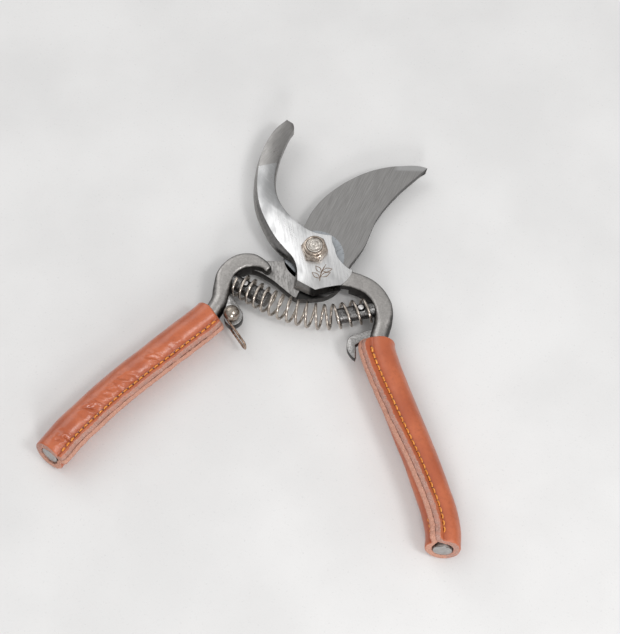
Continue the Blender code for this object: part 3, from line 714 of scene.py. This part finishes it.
def blade_forging():
    ledge = plain([
        (-29.2, -14.4), (-27.3, -14.7), (-25.7, -13.4), (-23.4, -12.8), (-19.7, -13.4), (-14.2, -15.5),
        (-9.1, -18.3), (-4.1, -21.0), (-2.6, -21.3),
    ])  # fmt: skip
    heel = [
        (-2.6, -21.3, 0.0), (3.4, -20.0, 0.0), (9.0, -17.6, 0.0), (12.9, -13.4, 0.0), (14.8, -8.0, 0.0),
        (15.2, -1.6, 0.0), (17.6, 4.6, 0.2), (19.5, 10.2, 0.3), (20.4, 16.5, 0.3), (21.4, 23.2, 0.3),
        (24.2, 31.3, 0.3), (28.0, 39.2, 0.3), (32.3, 46.2, 0.3), (37.5, 54.2, 0.3),
    ]  # fmt: skip
    edge = [
        (37.5, 54.2, 1.0), (33.3, 54.4, 2.2), (27.8, 53.1, 4.0), (20.5, 50.6, 6.0), (13.0, 46.4, 8.0),
        (6.1, 40.5, 9.0), (0.8, 34.4, 9.5), (-3.4, 27.9, 9.0), (-6.2, 21.0, 7.0), (-7.9, 13.5, 3.5),
        (-10.2, 8.0, 0.5), (-12.2, 3.0, 0.0), (-12.9, -1.2, 0.0), (-12.3, -4.8, 0.0),
    ]  # fmt: skip
    tang = plain([(-12.3, -4.8), (-15.7, -6.2), (-19.5, -7.0), (-25.5, -9.2), (-29.2, -14.4)])
    shape = outline(ledge, heel, edge, tang)
    levels = [(BLADE_BOTTOM, -1, 0), (BLADE_TOP - 0.12, 0, 0), (BLADE_TOP, 0, -0.04)]
    piece(
        "blade", *joined(plate_rings(shape, levels)), ground_blade(), BLADE_HALF, "blade_steel",
        ["blade_forging"], angle=20,
    )  # fmt: skip
    inside, proud, sunk = 8.0, BLADE_TOP + 0.03, BLADE_TOP - 0.2
    bearing = [(inside, sunk), (inside, proud), (BEARING_RADIUS, proud), (BEARING_RADIUS, sunk)]
    bearing = rounded(bearing, 0.03)
    verts, faces = stack(turned(bearing, sides=96), looped=True)
    piece("bearing_face", verts, faces, bearing_steel(), BLADE_HALF, "blade_steel")
    swept = [math.radians(a) for a in range(264, 201, -3)]
    step = plain([polar(STEP_RADIUS, a) for a in swept])
    heel_end, back_end = (-2.7, -21.1), (-29.0, -14.3)
    raised = outline(
        plain([back_end, *ledge[1:-1], heel_end]),
        plain([heel_end, step[0]]),
        step,
        plain([step[-1], (-15.7, -6.35), (-19.5, -7.15), (-25.3, -9.3), back_end]),
        steps=6,
    )
    levels = [
        (BLADE_BOTTOM - 0.01, 0, 0.02), (TANG_TOP - 0.35, 0, 0.02), (TANG_TOP - 0.1, 0, -0.12),
        (TANG_TOP, 0, -0.4),
    ]  # fmt: skip
    piece("tang", *joined(plate_rings(raised, levels)), scaled_tang(), BLADE_HALF, "blade_steel", angle=30)
    bar = bar_rings(LEFT_BAR, LEFT_ROD, True, 1.4, 0.12, 9.0)
    piece("left_handle", *joined(bar), forged_bar(), BLADE_HALF, "blade_steel")


# ---------------------------------------------------------------- pivot, spring and catch


def pivot():
    nickel = plated("nickel", tone(190, 178, 166), tone(140, 126, 114), 0.22)
    silver = plated("turned_end", tone(218, 212, 204), tone(170, 162, 154), 0.3)
    head = rounded([(0.2, 0.0), (5.8, 0.0), (6.0, 2.8), (3.0, 2.8), (3.0, 16.2)], 0.5)
    end = [
        (3.32, 16.3), (3.34, 16.55), (3.2, 16.68), (2.95, 16.68), (2.85, 16.45), (2.7, 16.45), (2.6, 16.75),
        (2.2, 16.85), (1.95, 16.7), (1.8, 16.85), (1.2, 16.98), (0.8, 16.85), (0.6, 17.0), (0.1, 17.05),
    ]  # fmt: skip
    piece("pivot_bolt_looks", *joined(turned([*head, *end])), silver, ROOT, "bolt", ["pivot_bolt"], angle=50)
    sides, sixth = 96, math.pi / 3
    rings = []
    # (height, largest radius): the chamfer cuts the hexagon's corners where this is less than the corner
    for height, largest in ((11.3, 5.2), (11.6, 5.9), (14.2, 5.9), (14.7, 5.35), (15.0, 4.9), (15.1, 4.7)):
        ring = []
        for i in range(sides):
            turn = 2 * math.pi * i / sides
            r = min(NUT_ACROSS_FLATS / 2 / math.cos(turn % sixth - sixth / 2), largest)
            ring.append((*polar(r, NUT_TURN + turn), height))
        rings.append(ring)
    collar = [
        (4.62, 15.25), (4.68, 15.9), (4.62, 16.2), (4.4, 16.5), (4.1, 16.65), (3.75, 16.68), (3.6, 16.6),
        (3.55, 16.25), (3.5, 15.9), (3.4, 15.9), (3.4, 11.4),
    ]  # fmt: skip
    rings += turned(collar, sides=sides, turn=NUT_TURN)
    verts, faces = stack(rings, looped=True)
    piece("pivot_nut_looks", verts, faces, nickel, ROOT, "nut", ["pivot_nut"], angle=32)


def spring_and_pegs():
    dark = dark_steel("peg_steel", grey(150, 0.02), grey(66, 0.03))
    pin_steel = plated("pin_steel", grey(232, 0.01), grey(205, 0.02), 0.45)
    # Painted shade: a near-black ring round each pin stands for the shade in the gap of its hole.
    gap_shade_look = dark_steel("pin_hole_painted_shade", grey(40), grey(18))
    for label, (foot, direction, length), body in (
        ("left", LEFT_PEG, BLADE_HALF),
        ("right", RIGHT_PEG, ROOT),
    ):
        profile = rounded([(0.2, 0.0), (PEG_RADIUS, 0.0), (PEG_RADIUS, length), (0.2, length)], 0.6)
        peg = turned(profile, foot, direction, 40)
        piece(f"{label}_peg_looks", *joined(peg), dark, body, "pegs", [f"{label}_spring_peg"])
        drill, top = foot + direction * PIN_DISTANCE, PEG_RADIUS + 0.3
        lean = Vector((*(side(direction) * (PIN_LEAN if body == BLADE_HALF else -PIN_LEAN)), 1))
        pin = turned(rounded([(0.2, 2.0), (1.2, 2.0), (1.25, top), (0.1, top + 0.15)], 0.3), drill, lean, 24)
        piece(f"{label}_pin_looks", *joined(pin), pin_steel, body, "pins", [f"{label}_peg_pin"])
        # The ring of painted shade, where the pin enters the peg.
        gap_shade_ring = [(1.28, 2.9), (1.28, 3.3), (1.45, 3.38), (1.75, 3.3), (1.9, 3.05), (1.9, 2.6)]
        verts, faces = stack(turned(gap_shade_ring, drill, lean, 32), looped=True)
        piece(f"{label}_pin_gap_shade_ring", verts, faces, gap_shade_look, body, "pegs")

    line = through(SPRING_LINE, 24)
    spans = [(b - a).length for a, b in zip(line, line[1:])]
    total = sum(spans)
    steps = round(SPRING_TURNS * 28)
    path = []
    for k in range(steps + 1):
        # The turns lie a little closer together on the left peg than on the right one.
        spread = k / steps - 0.04 * math.sin(math.pi * k / steps)
        walked, i = spread * total, 0
        while i < len(spans) - 1 and walked > spans[i]:
            walked -= spans[i]
            i += 1
        point = line[i].lerp(line[i + 1], walked / spans[i])
        across = side((line[i + 1] - line[i]).normalized())
        angle = 2 * math.pi * SPRING_TURNS * k / steps + math.pi / 2
        flat = point + across * SPRING_RADIUS * math.cos(angle)
        path.append((*flat, BAR_MIDDLE + SPRING_RADIUS * math.sin(angle)))
    wire = plated("spring_wire", tone(206, 197, 187), tone(150, 140, 130), 0.22)
    spring = piece(
        "spring_looks", *joined(tube(path, WIRE_RADIUS)), wire, None, "spring", ["coil_spring"]
    )
    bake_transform(spring)


def catch():
    steel = shaded_wall_plate()
    swept = [math.radians(a) for a in range(-90, 61, 10)]
    around = plain([RIVET + polar(LUG_RADIUS, a) for a in swept])
    root = plain([around[-1], (-24.9, -31.1), (-26.4, -29.9), (-28.4, -28.3), (-30.2, -26.8)])
    back = plain([
        (-30.2, -26.8), (-30.0, -31.0), (-30.0, -34.5), (-29.5, -37.2), (-28.6, -39.2), around[0],
    ])  # fmt: skip
    shape = outline(around, root, back, steps=5)
    levels = [(4.8, 0, -0.3), (4.9, 0, -0.1), (5.1, 0, 0), (8.5, 0, 0), (8.7, 0, -0.1), (8.8, 0, -0.3)]
    piece("lug_looks", *joined(plate_rings(shape, levels)), steel, BLADE_HALF, "catch_steel", ["catch_lug"])

    profile = rounded([(0.2, 2.1), (2.9, 2.1), (3.0, 3.2), (1.65, 3.2), (1.65, 10.35), (3.2, 10.4)], 0.15)
    for i in range(24):
        a = math.radians(-7 + 96 * i / 23)
        profile.append(Vector((0, BALL_MIDDLE)) + polar(BALL_RADIUS, a))
    ball = plated("ball_plate", tone(172, 164, 154), tone(132, 122, 112), 0.18)
    piece("rivet_looks", *joined(turned(profile, (*RIVET, 0))), ball, BLADE_HALF, "rivet", ["catch_rivet"])

    ahead = polar(1, LOOP_HEADING)
    low, high, bend = 4.0, 9.6, 1.8
    reach = math.sqrt(LOOP_REACH**2 - EYE_RADIUS**2)
    half = []
    for i in range(41):
        a = LOOP_HEADING - math.pi / 2 - math.radians(300 * (1 - i / 40))
        half.append((*(RIVET + polar(EYE_RADIUS, a)), low))
    foot = Vector(half[-1][:2])
    for distance in (1.5, 3.0, 5.0, 7.0, 9.0, reach - bend - 0.8):
        half.append((*(foot + ahead * distance), low))
    for i in range(11):
        a = math.pi / 2 * i / 10
        half.append((*(foot + ahead * (reach - bend + bend * math.sin(a))), low + bend * (1 - math.cos(a))))
    path = half + [(x, y, low + high - z) for x, y, z in reversed(half)]
    wire = plated("loop_wire", tone(178, 156, 140), tone(96, 78, 66), 0.22)
    piece("loop_looks", *joined(tube(path, LOOP_WIRE)), wire, LOOP_BODY, "loop_wire", ["wire_loop"])

    outer = plain([
        (33.0, -27.4), (30.6, -28.6), (26.4, -31.2), (23.4, -33.3), (22.4, -35.8), (23.2, -39.6),
        (25.4, -42.1), (27.3, -43.2),
    ])  # fmt: skip
    beak = plain([(27.3, -43.2), (27.5, -41.9), (27.0, -39.6), (26.1, -37.0)])
    arm = plain([(26.1, -37.0), (27.6, -35.4), (29.0, -34.2), (31.0, -33.2), (33.0, -32.6)])
    shape = outline(outer, beak, arm, [arm[-1], outer[0]], steps=6)
    levels = [(5.0, 0, -0.3), (5.1, 0, -0.1), (5.3, 0, 0), (7.7, 0, 0), (7.9, 0, -0.1), (8.0, 0, -0.3)]
    piece("catch_hook_looks", *joined(plate_rings(shape, levels)), steel, ROOT, "catch_steel", ["catch_hook"])


def etched_sprig():
    """A generic leaf sprig in dark etched lines on the hook's flat."""
    verts, faces = [], []

    def stroke(points, width):
        line = through(points, 10)
        first = len(verts)
        for i, point in enumerate(line):
            t = i / (len(line) - 1)
            ragged = 0.8 + 0.4 * noise.noise(Vector((point.x * 2.3, point.y * 2.3, 4.0)))
            across = side(heading(line, i)) * width * ragged * (0.6 + 0.4 * math.sin(math.pi * t))
            verts.append((*(point - across), BAR_TOP + 0.02))
            verts.append((*(point + across), BAR_TOP + 0.02))
        for i in range(len(line) - 1):
            a = first + 2 * i
            faces.append((a, a + 1, a + 3, a + 2))

    stem = [Vector((5.4, -13.2)), Vector((5.1, -10.6)), Vector((5.3, -8.0)), Vector((6.1, -4.9))]
    stroke(stem, 0.28)
    line = through(stem, 16)
    for share, length, turn in ((0.16, 4.4, 1), (0.26, 4.8, -1), (0.52, 4.0, 1), (0.62, 4.4, -1)):
        i = round(share * (len(line) - 1))
        along = heading(line, i)
        tip = line[i] + (along * 0.7 + side(along) * turn).normalized() * length
        middle = (line[i] + tip) / 2
        bulge = side((tip - line[i]).normalized()) * 0.9
        stroke([line[i], middle + bulge, tip], 0.22)
        stroke([line[i], middle - bulge, tip], 0.22)
    piece("etched_sprig", verts, faces, etched_line(), ROOT, "hook_steel")


# ---------------------------------------------------------------- leather sleeves


class Sleeve:
    """A leather strip folded round a rod, its two edges stitched together along the inner side."""

    # Half of the cut through a sleeve, from the raw edge over the stitch line and round the rod, measured
    # along the flange and square to it. The first point is drawn out to the flange's reach.
    FULL = [(8.7, 2.3), (7.6, 2.4), (6.4, 2.3), (5.95, 3.0), (5.2, 4.35), (3.9, 5.75), (2.0, 6.72),
            (-0.3, 7.0), (-2.7, 6.45), (-5.0, 4.9), (-6.5, 2.6), (-7.0, 0.0)]  # fmt: skip
    SLIM = [(8.7, 2.3), (7.4, 2.4), (5.6, 2.8), (5.05, 3.75), (4.2, 5.15), (2.9, 6.25), (1.2, 6.88),
            (-0.8, 6.95), (-3.1, 6.25), (-5.2, 4.7), (-6.55, 2.5), (-7.0, 0.0)]  # fmt: skip
    REACH = 8.7
    BORE = 4.15
    THICKNESS = (0.0, 0.2, 0.45, 0.7, 0.93, 1.0)
    STITCH_PITCH = 2.7
    ROW_PITCH = 0.42
    RIM = 0.6

    def __init__(self, label, bar_line, rod_line, skipped, short, inner, lifts, profile, body, seed):
        steps = 24
        line = through(bar_line + rod_line, steps)[steps * (len(bar_line) - 1) + skipped : -1 - short]
        self.label, self.inner, self.lifts, self.body, self.seed = label, inner, lifts, body, seed
        self.profile = profile
        self.stitch_x = profile[2][0]
        self.hole_x = self.stitch_x + 0.3
        lengths = [0.0]
        for a, b in zip(line, line[1:]):
            lengths.append(lengths[-1] + (b - a).length)
        self.line, self.lengths, self.total = line, lengths, lengths[-1]

    def at(self, distance):
        """(centre, direction) at this distance from the sleeve's upper end."""
        i = 0
        while i < len(self.lengths) - 2 and self.lengths[i + 1] < distance:
            i += 1
        t = (distance - self.lengths[i]) / (self.lengths[i + 1] - self.lengths[i])
        a, b = heading(self.line, i), heading(self.line, i + 1)
        return self.line[i].lerp(self.line[i + 1], t), a.lerp(b, min(max(t, 0), 1)).normalized()

    def lift(self, distance):
        share = eased(distance / self.total)
        return math.radians(self.lifts[0] + (self.lifts[1] - self.lifts[0]) * share)

    def place(self, distance, x, y, sign, shift=0.0):
        """A point of the cut (x along the flange, y square to it) as a point in space."""
        centre, direction = self.at(distance)
        lift = self.lift(distance)
        flat = x * math.cos(lift) - sign * y * math.sin(lift)
        height = x * math.sin(lift) + sign * y * math.cos(lift)
        spot = centre + side(direction) * flat * self.inner + direction * shift
        return Vector((*spot, BAR_MIDDLE + height))

    def holes(self):
        first, last = self.margins
        count = round((self.total - first - last) / self.STITCH_PITCH)
        return [first + (self.total - first - last) * k / count for k in range(count + 1)]

    def reach(self, distance, sign):
        wave = noise.noise(Vector((distance / 5.5, 5.0 * sign, self.seed)))
        fray = noise.noise(Vector((distance / 1.3, 9.0 * sign, self.seed)))
        lower = 0.3 if sign < 0 else 0.0
        return self.REACH + lower + 0.4 * wave + 0.14 * fray - self.cropped(distance)

    def cropped(self, distance):
        """How much of the flange its rounded corners take away here."""
        lost = 0.0
        for near, radius in zip((distance, self.total - distance), self.corner_radii):
            if near < radius:
                lost += radius - math.sqrt(radius**2 - (radius - near) ** 2)
        return lost

    def wrinkle(self, distance, x, y, sign):
        """How far the leather stands out here, in millimetres."""
        near = math.exp(-(((x - self.hole_x) / 0.55) ** 2)) if x > 0 else 0.0
        beat = math.cos(2 * math.pi * (distance - self.margins[0]) / self.pitch)
        out = -near * (0.10 + 0.16 * eased((beat + 1) / 2))
        side_share = math.exp(-(((x - self.stitch_x + 2.2) / 1.9) ** 2)) if y > 0 else 0.0
        slanted = distance + 0.8 * x
        spot = Vector((slanted / self.fold_size, x / 3.0, self.seed + 2 * sign))
        folds = 0.4 - 2.0 * abs(noise.noise(spot))
        patch = 0.5 + 1.3 * noise.noise(Vector((distance / 9.0, 3.3, self.seed)))
        folds *= eased(patch) * eased((distance / self.total - 0.15) / 0.2)
        soft = noise.noise(Vector((distance / 9.0, x / 4.0, self.seed + 7.7 * sign)))
        return out + self.folding * side_share * folds + 0.16 * soft

    def build(self, look, slot, nodes):
        ends = [0.0, 0.06, 0.16, 0.32, self.RIM]
        inside = [k * self.ROW_PITCH for k in range(2, int(self.total / self.ROW_PITCH) - 1)]
        rows = ends + inside + [self.total - d for d in reversed(ends)]
        half = through(self.profile, 5)
        holes = self.holes()
        loop = [(p, 1) for p in half] + [(p, -1) for p in reversed(half[:-1])]
        n, t_steps = len(loop), len(self.THICKNESS) - 1
        verts, flags = [], {key: [] for key in ("raw", "lower", "seam", "hole", "crease")}

        def corners(distance, column):
            p, sign = loop[column]
            x, y = p.x, p.y
            reach = self.reach(distance, sign)
            if x > self.stitch_x:
                stretch = (reach - self.stitch_x) / (self.REACH - self.stitch_x)
                x = self.stitch_x + (x - self.stitch_x) * stretch
            out = self.wrinkle(distance, x, y, sign)
            end = min(distance, self.total - distance)
            rim = 0.32 * (1 - math.sqrt(max(0.0, 1 - (1 - min(end / self.RIM, 1)) ** 2)))
            edge = 0.3 if column in (0, n - 1) else 0.0
            radial = Vector((x, y)).normalized() if x < self.stitch_x else Vector((0.15, 1)).normalized()
            outer = Vector((x, y)) + radial * (out - rim - edge)
            if x > self.stitch_x - 0.3:
                bore = Vector((max(x, 5.2), 0.02))
            else:
                bore = Vector((p.x, max(p.y, 0.0))).normalized() * self.BORE
                if bore.x > 3.8:
                    bore.y = min(bore.y, 1.2)
            return outer, bore, sign

        index = {}
        for r, distance in enumerate(rows):
            near_end = eased((distance / self.total - 0.8) / 0.2)
            near_start = 1 - eased(distance / 9.0)
            for c in range(n):
                outer, bore, sign = corners(distance, c)
                is_end = r in (0, len(rows) - 1)
                is_raw = c in (0, n - 1)
                layers = range(t_steps + 1) if is_end or is_raw else (0, t_steps)
                for k in layers:
                    s = self.THICKNESS[k]
                    p = outer.lerp(bore, s)
                    lift = self.lift(distance)
                    height = p.x * math.sin(lift) + sign * p.y * math.cos(lift)
                    shift = -self.slant * height * near_end
                    shift += self.start_slant * max(0.0, p.x - 2.0) * near_start
                    fibre = noise.noise(Vector((distance / 0.7, c / 1.5, k * 2.3 + self.seed)))
                    if is_end and 0 < k < t_steps:
                        shift += (0.16 + 0.22 * fibre) * (1 if r else -1)
                    if is_raw and 0 < k < t_steps:
                        p = p + Vector((0.22 + 0.2 * fibre, 0))
                    index[r, c, k] = len(verts)
                    verts.append(self.place(distance, p.x, p.y, sign, shift))
                    raw = 1.0 if k > 0 else (0.55 if is_raw or is_end else 0.0)
                    beside = p.x - self.hole_x
                    hole = 0.0
                    if k == 0 and abs(beside) < 1.2:
                        gap = min(abs(distance - h) for h in holes)
                        far = math.hypot(gap, beside * 0.8)
                        hole = 1 - eased((far - 0.2) / 0.4)
                    crease = math.exp(-((beside / 0.8) ** 2)) if k == 0 and p.x > 0 else 0
                    flags["raw"].append(raw)
                    flags["lower"].append(1.0 if sign < 0 else 0.0)
                    # seam and hole mark where the leather paints shade: the gap between the layers, and the
                    # stitch holes.
                    flags["seam"].append(1.0 if k == t_steps else 0.0)
                    flags["hole"].append(hole)
                    flags["crease"].append(crease)
        faces = []
        last_r = len(rows) - 1

        def quad(*keys):
            faces.append(tuple(index[key] for key in keys))

        for r in range(last_r):
            for c in range(n - 1):
                quad((r, c, 0), (r, c + 1, 0), (r + 1, c + 1, 0), (r + 1, c, 0))
                quad((r, c, t_steps), (r + 1, c, t_steps), (r + 1, c + 1, t_steps), (r, c + 1, t_steps))
            for c in (0, n - 1):
                for k in range(t_steps):
                    quad((r, c, k), (r + 1, c, k), (r + 1, c, k + 1), (r, c, k + 1))
        for r in (0, last_r):
            for c in range(n - 1):
                for k in range(t_steps):
                    quad((r, c, k), (r, c + 1, k), (r, c + 1, k + 1), (r, c, k + 1))
        return piece(f"{self.label}_leather", verts, faces, look, self.body, slot, nodes, flags, angle=60)

    def stitches(self, look, slot, nodes):
        """One short thread over each gap between two holes, on both sides, doubled at both ends."""
        holes = self.holes()
        parts = []
        runs = [(a, b, 0.0) for a, b in zip(holes, holes[1:])]
        for k in (0, 1, 2):
            runs.append((holes[k] + 0.3, holes[k + 1] - 0.2, 0.42))
            runs.append((holes[-2 - k] + 0.3, holes[-1 - k] - 0.2, 0.42))
        base_y = self.profile[2][1]
        for sign in (1, -1):
            for a, b, aside in runs:
                path = []
                for i in range(11):
                    t = i / 10
                    distance = a + (b - a) * (0.5 + self.stitch_share * (t - 0.5))
                    x = self.hole_x + aside + 0.12 * (t - 0.5)
                    arch = math.sin(math.pi * t) ** 0.6
                    y = base_y - 0.26 + 0.34 * arch + (0.14 if aside else 0.0)
                    path.append(self.place(distance, x, y, sign))
                parts.append(tube(path, lambda t: 0.23 + 0.08 * math.sin(math.pi * t), sides=10))
        return piece(f"{self.label}_stitches", *joined(*parts), look, self.body, slot, nodes)


def sleeves():
    thread = waxed_thread()
    left = Sleeve("left", LEFT_BAR, LEFT_ROD, 0, 0, 1, (25, 30), Sleeve.FULL, BLADE_HALF, 1.7)
    left.margins, left.slant, left.start_slant = (2.3, 3.0), 0.17, 0.34
    left.folding, left.fold_size, left.stitch_share, left.corner_radii = 1.0, 2.4, 0.66, (1.2, 1.2)
    right = Sleeve("right", RIGHT_BAR, RIGHT_ROD, 8, 4, -1, (38, 66), Sleeve.SLIM, ROOT, 6.1)
    right.margins, right.slant, right.start_slant = (4.1, 4.4), 0.22, 0.10
    right.folding, right.fold_size, right.stitch_share, right.corner_radii = 0.15, 2.6, 0.80, (4.0, 1.2)
    for sleeve, gloss in ((left, 0.28), (right, 0.36)):
        holes = sleeve.holes()
        sleeve.pitch = holes[1] - holes[0]
        sleeve.build(leather(f"{sleeve.label}_leather_look", gloss), "leather", [f"{sleeve.label}_sleeve"])
        sleeve.stitches(thread, "thread", [f"{sleeve.label}_stitching"])


# ---------------------------------------------------------------- stage, light and camera


def area_light(name, place, size, power):
    """A round white lamp that points at the pivot."""
    data = bpy.data.lights.new(name, "AREA")
    data.shape = "DISK"
    data.size = size
    data.energy = power
    lamp = bpy.data.objects.new(name, data)
    lamp.location = place
    lamp.rotation_euler = (-Vector(place)).to_track_quat("-Z", "Y").to_euler()
    bpy.context.scene.collection.objects.link(lamp)


def stage():
    mesh = bpy.data.meshes.new("floor")
    size = 3.0
    corners = [(-size, -size), (size, -size), (size, size), (-size, size)]
    mesh.from_pydata([(x, y, -0.0002) for x, y in corners], [], [(0, 1, 2, 3)])
    mesh.materials.append(plain_floor())
    floor = bpy.data.objects.new("floor", mesh)
    bpy.context.scene.collection.objects.link(floor)

    world = bpy.data.worlds.new("studio")
    bpy.context.scene.world = world
    world.use_nodes = True
    nodes, links = world.node_tree.nodes, world.node_tree.links
    split = nodes.new("ShaderNodeSeparateXYZ")
    links.new(nodes.new("ShaderNodeTexCoord").outputs["Generated"], split.inputs[0])
    ramp = nodes.new("ShaderNodeValToRGB")
    ramp.color_ramp.elements[0].position = 0.0
    ramp.color_ramp.elements[0].color = (0.42, 0.42, 0.43, 1)
    ramp.color_ramp.elements[1].position = 0.75
    ramp.color_ramp.elements[1].color = (1.0, 1.0, 1.0, 1)
    links.new(split.outputs["Z"], ramp.inputs["Fac"])
    links.new(ramp.outputs["Color"], nodes["Background"].inputs["Color"])
    nodes["Background"].inputs["Strength"].default_value = 0.75

    area_light("key", (-0.70, 0.45, 0.75), 0.9, 2.6)
    area_light("low_front", (0.25, -0.80, 0.35), 0.25, 2.6)
    area_light("right_gleam", (0.45, -0.20, 0.65), 0.22, 1.6)

    camera = bpy.data.objects.new("camera", bpy.data.cameras.new("camera"))
    camera.data.lens = 88.07
    camera.data.clip_start = 0.01
    camera.location = (0.0725, -0.3077, 0.5808)
    camera.rotation_euler = (math.radians(90 - 63.4), 0, math.radians(13.6))
    bpy.context.scene.collection.objects.link(camera)
    bpy.context.scene.camera = camera
    bpy.context.scene.view_settings.view_transform = "Standard"


def main():
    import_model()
    hook_forging()
    blade_forging()
    pivot()
    spring_and_pegs()
    catch()
    etched_sprig()
    sleeves()
    stage()


main()
